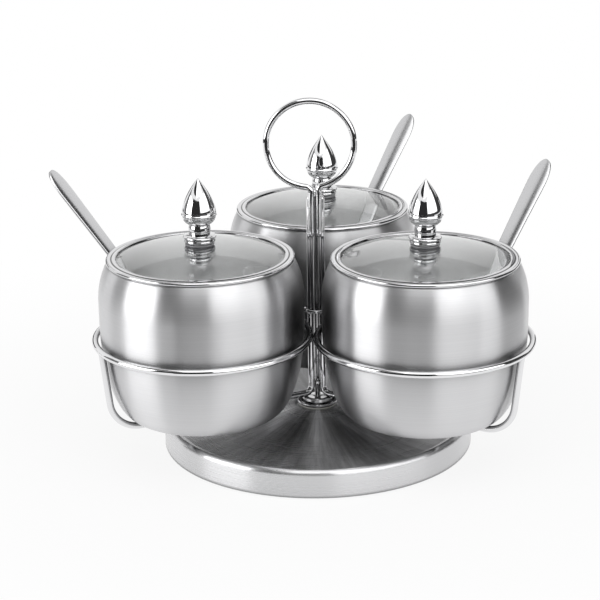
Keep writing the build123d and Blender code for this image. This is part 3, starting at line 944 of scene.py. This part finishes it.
class RACK_OT_lids(Operator):
    """Three lids: crimped steel ring, domed glass, gaskets, washer and screw"""
    bl_idname = "rack.lids"
    bl_label = "Lids"

    rim_height: length("Rim height", 2.0, "Height of the lid's ring above the pot")
    lip: length("Lip", 0.8, "Thickness of the ring's top lip")
    bead_drop: length("Bead drop", 0.1, "Height of the lip above the outer bead")
    skirt_clearance: length("Skirt clearance", 0.4, "Gap from the skirt to the mouth")
    skirt_depth: length("Skirt depth", 1.2, "Depth of the skirt in the mouth")
    crimp: length("Crimp", 0.4, "Width of the crimp below the glass")
    grip: length("Grip", 1.1, "Width of the glass that the ring holds")
    glass_edge: length("Glass edge", 2.0, "Thickness of the glass at its edge")
    glass_middle: length("Glass middle", 3.0, "Thickness of the glass at its middle")
    glass_gap: length("Glass gap", 0.2, "Gap from the dome's foot to the lip")
    hole: length("Hole", 2.45, "Radius of the hole in the glass")
    # The groove's dark line is painted shade, a band of the ring's colour darkened
    groove_shade_inset: length("Groove inset", 1.5,
                         "Distance of the dark groove from the outer bead's top")
    groove_shade_width: length("Groove line", 0.9, "Width of the dark groove")
    bore_share: number("Bore share", 0.85, "Radius of the washer's bore as a share of the hole's")
    washer_edge: length("Washer edge", 0.5, "Rounding of the washer's edges")
    screw_gap: length("Screw gap", 0.1, "Gap from the screw's shank to the washer")
    screw_edge: length("Screw edge", 1.2, "Rounding of the screw's head")

    def execute(self, context):
        for name in SETS:
            centre = pot_centre(name)
            self.ring(name, centre)
            self.glass(name, centre)
            self.fixings(name, centre)
        return {"FINISHED"}

    def ring(self, name, centre):
        """Ring with an outer bead, a shallow groove and a lip over the glass.

        A line of painted shade darkens the groove.
        """
        s = sizes()
        rim = rim_height(name)
        top = rim + self.rim_height
        seat = s.mouth - s.pot_wall / 2
        skirt = s.mouth - s.pot_wall - self.skirt_clearance
        skirt_bottom = rim - self.skirt_depth
        glass_top = top - self.lip
        glass_bottom = glass_top - self.glass_edge
        glass_radius = s.lip_radius + self.grip
        crimp = s.lip_radius + self.crimp
        bead = self.rim_height / 2
        bead_top = (s.lid_radius - bead, top - self.bead_drop)
        side = (s.lid_radius, rim + bead)
        lip_top = (s.lip_radius + self.lip, top)
        outer = joined((skirt, skirt_bottom), (skirt, rim), (seat, rim),
                       leaving_arc(side, (0, -1), (seat, rim), count=10)[::-1],
                       leaving_arc(bead_top, (1, 0), side, count=10)[::-1])
        section = joined(
            outer,
            rounded([bead_top, (skirt - self.skirt_clearance, top - self.lip / 2), lip_top],
                    self.lip),
            leaving_arc((s.lip_radius, glass_top), (0, 1), lip_top, count=8)[::-1],
            (glass_radius, glass_top), (glass_radius, glass_bottom), (crimp, glass_bottom),
            (crimp, skirt_bottom))
        groove = (float(lengths_along(outer)[-2] + self.groove_shade_inset), self.groove_shade_width / 2)
        # Strong painted shade in the ring's narrow gaps, and painted shade along its groove
        steel = material_named("lid ring steel", bright_metal, colours().polished, roughness=0.08,
                               crevice=(0.004, 0.12), groove=groove)
        lathe(f"{name}_lid_ring_skin", section, centre, f"{name}_lid", "lid_steel", steel,
              closed=True, turns=200)

    def glass(self, name, centre):
        """Domed glass with a flat edge and a hole in the middle."""
        s = sizes()
        top = rim_height(name) + self.rim_height - self.lip
        bottom = top - self.glass_edge
        crown = top + s.glass_rise
        edge = s.lip_radius - self.glass_gap
        radius = s.lip_radius + self.grip
        upper = leaving_arc((0, crown), (1, 0), (edge, top), count=40)
        under = leaving_arc((0, crown - self.glass_middle), (1, 0), (edge, bottom), count=40)
        upper = upper[upper[:, 0] > self.hole]
        under = under[under[:, 0] > self.hole]
        section = joined((self.hole, under[0][1]), under, (radius, bottom), (radius, top),
                         upper[::-1], (self.hole, upper[0][1]))
        lathe(f"{name}_lid_glass_skin", section, centre, f"{name}_lid", "lid_glass",
              material_named("lid glass", clear_glass), closed=True)

    def fixings(self, name, centre):
        """Gasket, seal, washer and screw that hold the knob."""
        silicone = material_named("clear silicone", dull_material, colours().silicone,
                                  roughness=0.25, grain=700.0)
        repaint(silicone, f"{name}_knob_gasket", f"{name}_lid_seal")
        radius, bottom, top = round_node(f"{name}_lid_washer")
        bore = self.hole * self.bore_share
        washer = rounded([(bore, bottom), (radius, bottom), (radius, top), (bore, top)],
                         [0, self.washer_edge, self.washer_edge, 0], closed=True)
        head, head_bottom, shank_top = round_node(f"{name}_lid_screw")
        shank = bore - self.screw_gap
        edge = self.screw_edge
        screw = joined((0, head_bottom),
                       arc((head - edge, head_bottom + edge), edge, -90, 0, count=8),
                       (head, bottom), (shank, bottom), (shank, shank_top), (0, shank_top))
        for part, section, closed in (("lid_washer", washer, True), ("lid_screw", screw, False)):
            lathe(f"{name}_{part}_skin", section, centre, f"{name}_lid", "fixing_steel", chrome(),
                  closed=closed, turns=64)


# Knobs


class RACK_OT_knobs(Operator):
    """Three turned finials with foot, swelling neck, cup, lip and pointed bulb"""
    bl_idname = "rack.knobs"
    bl_label = "Knobs"

    foot: length("Foot radius", 6.8, "Radius of the foot's lower bead")
    foot_height: length("Foot height", 2.0, "Height of the foot's lower bead")
    bead: length("Bead radius", 7.2, "Radius of the foot's upper bead")
    bead_height: length("Bead height", 1.3, "Height of the foot's upper bead")
    neck: length("Neck radius", 4.4, "Radius of the neck at its ends")
    swell: length("Neck swell", 0.4, "Swelling of the neck at its middle")
    neck_height: length("Neck height", 5.0, "Height of the neck")
    cup_height: length("Cup height", 3.9, "Height of the cup above the neck")
    lip: length("Lip radius", 7.7, "Radius of the lip")
    lip_step: length("Lip step", 0.4, "Step from the cup's edge out to the lip")
    lip_height: length("Lip height", 0.9, "Height of the lip")
    bulb: length("Bulb radius", 7.4, "Radius of the bulb")

    def round_edge(self, radius, bottom, top):
        """Outline of a rounded bead: an arc through its widest place."""
        side = radius - (top - bottom) / 3
        return circle_through((side, bottom), (radius, (bottom + top) / 2), (side, top), count=12)

    def bulb_curve(self, bottom, height):
        """Outline of the bulb at each share t of its height: r = bulb radius x (1 - t^1.8)^1.05."""
        share = np.sin(np.linspace(0.0, np.pi / 2, 40))
        return np.stack([self.bulb * (1 - share ** 1.8) ** 1.05, bottom + share * height], axis=1)

    def execute(self, context):
        for name in SETS:
            low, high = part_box(f"{name}_knob")
            bottom = low.z
            bead_bottom = bottom + self.foot_height
            neck_bottom = bead_bottom + self.bead_height
            neck_top = neck_bottom + self.neck_height
            lip_bottom = neck_top + self.cup_height
            bulb_bottom = lip_bottom + self.lip_height
            flare = (1, 0.3)
            cup_edge = (self.lip - self.lip_step, lip_bottom)
            section = joined(
                (0, bottom),
                self.round_edge(self.foot, bottom, bead_bottom),
                self.round_edge(self.bead, bead_bottom, neck_bottom),
                circle_through((self.neck, neck_bottom),
                               (self.neck + self.swell, (neck_bottom + neck_top) / 2),
                               (self.neck, neck_top), count=14),
                leaving_arc((self.neck, neck_top), flare, cup_edge, count=12),
                circle_through(cup_edge, (self.lip, lip_bottom + self.lip_height / 2),
                               (self.bulb, bulb_bottom), count=8),
                self.bulb_curve(bulb_bottom, high.z - bulb_bottom))
            lathe(f"{name}_knob_skin", section, pot_centre(name), f"{name}_lid", "bright_chrome",
                  chrome(), turns=96)
        return {"FINISHED"}


# Spoons

# Rings along a spoon, and points across each of its two faces
SPOON_ROWS = 150
SPOON_HALF = 14

# Smallest half width of a ring, and the distance of the first and last rings from the spoon's ends
LEAST_WIDTH = 2e-5
END_STEP = 1e-6


def oval(y, middle, long):
    """1 - (2 (y - middle) / long)^2, and 0 past its ends: the square of an ellipse's half width."""
    return np.clip(1 - ((y - middle) / (long / 2)) ** 2, 0, 1)


class RACK_OT_spoons(Operator):
    """Three spoons with a crowned, tapered handle and an oval bowl"""
    bl_idname = "rack.spoons"
    bl_label = "Spoons"

    drop: length("Drop", 1.7, "Depth of the handle's middle below the rim at the notch")
    reach: length("Reach", 47.0, "Handle beyond the mouth")
    thickness: length("Thickness", 1.6, "Thickness of the handle at its middle")
    edge: length("Edge", 0.25, "Rounding of the edges of both faces")
    widest: length("Widest", 13.0, "Distance of the widest place below the tip")
    handle: length("Handle half width", 4.8, "Half width of the handle at its widest")
    neck: length("Neck half width", 2.3, "Half width of the handle at the bowl")
    neck_before: length("Neck before", 6.0,
                        "Where the handle starts to turn into the bowl, above it")
    neck_length: length("Neck length", 14.0, "Length over which the handle turns into the bowl")
    crown: length("Crown radius", 20.0, "Radius of the crowned upper face")
    bowl_length: length("Bowl length", 36.0, "Length of the bowl")
    bowl_depth: length("Bowl depth", 5.0, "Depth of the bowl")
    bowl_wall: length("Bowl wall", 1.0, "Thickness of the bowl")
    lean: degrees("Lean", 48.5, "Rise of the handle above level")

    def half_width(self, y, bowl_middle):
        """Half width at each place along the spoon.

        The handle tapers evenly from its widest place to the neck, and over its end, at each share
        t of it, by the root of 1 - t^2.6, which is a little fuller than an ellipse. The bowl is an
        ellipse. Where they meet the wider one counts, eased into the other as (a^6 + b^6)^(1/6)."""
        wide = self.reach - self.widest
        neck_at = bowl_middle + self.bowl_length / 2
        taper = self.neck + (self.handle - self.neck) * np.clip(
            (y - neck_at) / (wide - neck_at), 0, 1)
        end = np.clip((y - wide) / (self.reach - wide), 0, 1)
        handle = taper * np.sqrt(np.clip(1 - end ** 2.6, 0, 1))
        handle = np.where(y < bowl_middle, 0, handle)
        bowl = sizes().bowl_width / 2 * np.sqrt(oval(y, bowl_middle, self.bowl_length))
        return (handle ** 6 + bowl ** 6) ** (1 / 6)

    def surface(self):
        """Points (across, along, up) of the spoon's rings.

        The upper face is an arc of the crown's radius along the handle, and in the bowl a hollow
        whose depth is the oval of the way along times 1 - the square of the way out. The lower
        face lies half a thickness below the handle's middle, and a wall below the hollow."""
        spoon = sizes().spoon_length
        bowl_middle = self.reach - spoon + self.bowl_length / 2
        y = self.reach - spoon * (1 - np.cos(np.linspace(0, np.pi, SPOON_ROWS))) / 2
        y[0] -= END_STEP
        y[-1] += END_STEP
        side = -np.cos(np.linspace(0, np.pi, SPOON_HALF))
        x = np.maximum(self.half_width(y, bowl_middle), LEAST_WIDTH)[:, None] * side
        neck_start = bowl_middle + self.bowl_length / 2 + self.neck_before
        ease = np.clip((neck_start - y) / self.neck_length, 0, 1)[:, None]
        ease = ease * ease * (3 - 2 * ease)
        hollow = oval(y, bowl_middle, self.bowl_length)[:, None] * (1 - side ** 2)
        dish = -self.bowl_depth * ease * hollow
        crown = self.thickness / 2 - (self.crown - np.sqrt(self.crown ** 2 - x ** 2))
        round_off = self.edge * (1 - np.sqrt(np.clip(1 - side ** 6, 0, 1)))
        top = (1 - ease) * crown + dish - round_off
        wall = self.bowl_wall * ease * np.sqrt(np.clip(1 - side ** 4, 0.02, 1))
        under = dish - self.thickness / 2 * (1 - ease) - wall + round_off
        along = np.broadcast_to(y[:, None], x.shape)
        upper = np.stack([x, along, top], axis=-1)
        lower = np.stack([x, along, np.minimum(under, top)], axis=-1)
        return np.concatenate([upper, lower[:, ::-1]], axis=1)

    def axes(self, name):
        """Where a spoon crosses the mouth, and its directions across, along and up."""
        notch, way = np.radians(NOTCH_AZIMUTH[name]), np.radians(SPOON_AZIMUTH[name])
        lid = sizes().lid_radius
        x, y = pot_centre(name)
        origin = np.array([x + lid * np.cos(notch), y + lid * np.sin(notch),
                           rim_height(name) - self.drop])
        across = np.array([np.sin(way), -np.cos(way), 0.0])
        up = np.array([-np.cos(way) * np.sin(self.lean), -np.sin(way) * np.sin(self.lean),
                       np.cos(self.lean)])
        roll = np.radians(SPOON_ROLL[name])
        return (origin, across * np.cos(roll) - up * np.sin(roll), np.cross(up, across),
                up * np.cos(roll) + across * np.sin(roll))

    def execute(self, context):
        local = self.surface()
        rows, girth = local.shape[:2]
        faces, uv = tube_faces(rows, girth, np.arange(rows) / rows)
        steel = material_named("spoon steel", bright_metal, colours().spoon, roughness=0.18,
                               scratch=0.0)
        for name in SETS:
            origin, across, along, up = self.axes(name)
            points = (origin + local[..., :1] * across + local[..., 1:2] * along
                      + local[..., 2:] * up)
            finish_piece(f"{name}_spoon_skin", points.reshape(-1, 3), faces, uv, f"{name}_spoon",
                         "spoon_steel", steel)
        return {"FINISHED"}


# Stage

# Distances of lamps and cards from the rack, and heights that keep the cards clear of the floor
LAMP_DISTANCE = 1.25
CARD_DISTANCE = 1.5
CARD_LIFT = 0.002
TABLE_LIFT = 0.001

# Azimuth, elevation, width, height and radiance of each lamp
LAMPS = {
    "left_box": (-65.0, 16.0, 0.86, 0.74, 2.8),
    "right_box": (51.0, 27.0, 1.62, 0.84, 0.92),
    "top_box": (14.0, 65.0, 1.15, 0.88, 1.1),
}

# First and last azimuth, lowest and highest elevation, and greyness of each card
CARDS = {
    "front_card": (-46.0, 14.0, 0.0, 37.0, 0.03),
    "lower_card": (14.0, 86.0, 0.0, 7.0, 0.05),
    "left_card": (-108.0, -85.0, 0.0, 32.0, 0.20),
    "upper_card": (-87.0, -22.0, 43.0, 73.0, 0.03),
    "right_card": (86.0, 124.0, 0.0, 62.0, 0.05),
    "far_card": (124.0, 158.0, 0.0, 15.0, 0.06),
    "far_left_card": (-158.0, -130.0, 3.0, 15.0, 0.06),
    "back_card": (158.0, 212.0, 36.0, 62.0, 0.30),
    "ceiling_card": (-180.0, 180.0, 62.0, 88.0, 0.70),
}

# First and last azimuth, and nearest and farthest distance of each dark place on the table
TABLES = {
    "near_table_card": (-28.0, 16.0, 0.24, 0.42),
    "table_card": (-52.0, 60.0, 0.42, 1.45),
    "side_table_card": (84.0, 125.0, 0.34, 1.0),
    "left_table_card": (-130.0, -52.0, 0.75, 1.3),
}
TABLE_GREY = 0.03


def patch(first, last, low, high):
    """Grids of two values spread evenly over their ranges."""
    return np.meshgrid(np.linspace(first, last, 40), np.linspace(low, high, 20), indexing="ij")


def background_rays(tree):
    """1 for the camera's own rays and for what metal mirrors or glass lets through, else 0."""
    path = add_node(tree, "ShaderNodeLightPath").outputs
    behind = calculate(tree, "MAXIMUM", path["Is Glossy Ray"], path["Is Transmission Ray"])
    return calculate(tree, "MAXIMUM", path["Is Camera Ray"], behind)


def stage_sheet(name, points, faces, shade):
    """Sheet of the stage, whose shader is what the function shade makes in the node tree."""
    material = bpy.data.materials.new(name)
    material.use_nodes = True
    tree = material.node_tree
    tree.nodes.clear()
    add_node(tree, "ShaderNodeOutputMaterial", {"Surface": shade(tree)})
    mesh = bpy.data.meshes.new(name)
    mesh.from_pydata(points.tolist(), [], faces)
    mesh.materials.append(material)
    return linked(name, mesh)


def glow(tree, grey=1.0):
    """Even light of a grey."""
    light = add_node(tree, "ShaderNodeEmission",
                     {"Color": (grey, grey, grey, 1.0), "Strength": 1.0})
    return light.outputs[0]


class RACK_OT_stage(Operator):
    """Camera, pale floor, lamps and the dark cards that the bright metal mirrors"""
    bl_idname = "rack.stage"
    bl_label = "Stage"

    distance: length("Distance", 780.0, "Camera to the point that it looks at")
    azimuth: degrees("Azimuth", 3.3, "Way round the rack")
    elevation: degrees("Elevation", 17.8, "Height of view")
    roll: degrees("Roll", 0.66, "Tilt of the picture")
    target_height: length("Target height", 70.0, "Height of the point that the camera looks at")
    lens: number("Lens", 103.66, "Focal length for a 36 mm sensor")
    shift_x: number("Shift X", -0.0275, "Sideways shift of the picture")
    shift_y: number("Shift Y", -0.0131, "Upward shift of the picture")

    def execute(self, context):
        self.camera()
        self.world()
        self.floor()
        self.lamps()
        self.cards()
        return {"FINISHED"}

    def camera(self):
        """Camera on a line from its target, rolled a little about that line."""
        data = bpy.data.cameras.new("camera")
        data.sensor_width = 36.0
        data.lens = self.lens
        data.shift_x, data.shift_y = self.shift_x, self.shift_y
        data.clip_start, data.clip_end = 0.05, 30.0
        camera = linked("camera", data)
        back = Vector(direction(self.azimuth, self.elevation))
        place = Matrix.Translation(Vector((0, 0, self.target_height)) + back * self.distance)
        aim = (-back).to_track_quat("-Z", "Y").to_matrix().to_4x4()
        camera.rotation_mode = "QUATERNION"
        camera.matrix_world = place @ aim @ Matrix.Rotation(-self.roll, 4, "Z")
        bpy.context.scene.camera = camera

    def world(self):
        """White world for the camera, glass and metal, and a softer one for the light."""
        world = bpy.data.worlds.new("studio")
        bpy.context.scene.world = world
        world.use_nodes = True
        tree = world.node_tree
        strength = spread(tree, background_rays(tree), 0.55, 1.0)
        feed(tree, tree.nodes["Background"], {"Color": (1, 1, 1, 1), "Strength": strength})

    def floor(self):
        """Wide pale floor, evenly white to the eye apart from the shadow near the rack."""
        half = 6.0
        corners = np.array([(-half, -half, 0), (half, -half, 0), (half, half, 0), (-half, half, 0)])

        def shade(tree):
            """Matte white, mostly glow where the background shows, and only glow far away."""
            place = add_node(tree, "ShaderNodeTexCoord").outputs["Object"]
            away = add_node(tree, "ShaderNodeVectorMath", {0: place},
                            operation="LENGTH").outputs["Value"]
            share = calculate(tree, "MULTIPLY", background_rays(tree),
                              spread(tree, away, 0.86, 1.0, start=0.09, end=0.34, smooth=True))
            matte = add_node(tree, "ShaderNodeBsdfDiffuse",
                             {"Color": (0.9, 0.9, 0.9, 1)}).outputs[0]
            return add_node(tree, "ShaderNodeMixShader",
                            {0: share, 1: matte, 2: glow(tree)}).outputs[0]

        stage_sheet("floor", corners, [(0, 1, 2, 3)], shade)

    def lamps(self):
        """Soft boxes that face the rack."""
        for name, (azimuth, elevation, width, height, radiance) in LAMPS.items():
            data = bpy.data.lights.new(name, "AREA")
            data.shape = "RECTANGLE"
            data.size, data.size_y = width, height
            data.energy = radiance * np.pi * width * height
            lamp = linked(name, data)
            place = Vector(direction(*np.radians((azimuth, elevation)))) * LAMP_DISTANCE
            lamp.location = place
            lamp.rotation_mode = "QUATERNION"
            lamp.rotation_quaternion = place.to_track_quat("Z", "Y")
            lamp.visible_camera = False

    def cards(self):
        """Grey cards between and above the lamps, and dark places on the table."""
        for name, (first, last, low, high, grey) in CARDS.items():
            points = CARD_DISTANCE * direction(*np.radians(patch(first, last, low, high)))
            points[..., 2] += CARD_LIFT
            self.card(name, points, grey)
        for name, ranges in TABLES.items():
            azimuth, reach = patch(*ranges)
            points = reach[..., None] * direction(np.radians(azimuth), np.zeros_like(azimuth))
            points[..., 2] = TABLE_LIFT
            self.card(name, points, TABLE_GREY)

    def card(self, name, points, grey):
        """Card that only bright metal mirrors."""
        faces, _, _ = grid_faces(*points.shape[:2])
        card = stage_sheet(name, points.reshape(-1, 3), faces.tolist(),
                           lambda tree: glow(tree, grey))
        card.visible_camera = False
        card.visible_diffuse = False
        card.visible_transmission = False
        card.visible_shadow = False


# Panel and add-on


OPERATORS = (RACK_OT_stage, RACK_OT_base, RACK_OT_hub, RACK_OT_wires, RACK_OT_pots, RACK_OT_lids,
             RACK_OT_knobs, RACK_OT_spoons)


class RACK_PT_panel(Panel):
    """Sidebar panel with the sizes, the colours and one button for each group of pieces"""
    bl_idname = "RACK_PT_panel"
    bl_label = "Condiment rack"
    bl_space_type = "VIEW_3D"
    bl_region_type = "UI"
    bl_category = "Rack"

    def draw(self, context):
        layout = self.layout
        for group in (context.scene.rack_sizes, context.scene.rack_colours):
            column = layout.column(align=True)
            for key in group.__annotations__:
                column.prop(group, key)
        for operator in OPERATORS:
            layout.operator(operator.bl_idname)


CLASSES = (RackSizes, RackColours, *OPERATORS, RACK_PT_panel)


def register():
    """Add the classes, and the sizes and colours that every scene then has."""
    for cls in CLASSES:
        bpy.utils.register_class(cls)
    bpy.types.Scene.rack_sizes = PointerProperty(type=RackSizes)
    bpy.types.Scene.rack_colours = PointerProperty(type=RackColours)


def unregister():
    """Take away what register adds."""
    del bpy.types.Scene.rack_colours
    del bpy.types.Scene.rack_sizes
    for cls in reversed(CLASSES):
        bpy.utils.unregister_class(cls)


def main():
    """Build the stage and the rack."""
    register()
    bpy.context.scene.view_settings.view_transform = "Standard"
    bpy.ops.rack.stage()
    bpy.ops.rack.base()
    bpy.ops.rack.hub()
    bpy.ops.rack.wires()
    bpy.ops.rack.pots()
    bpy.ops.rack.lids()
    bpy.ops.rack.knobs()
    bpy.ops.rack.spoons()


if __name__ == "__main__":
    main()
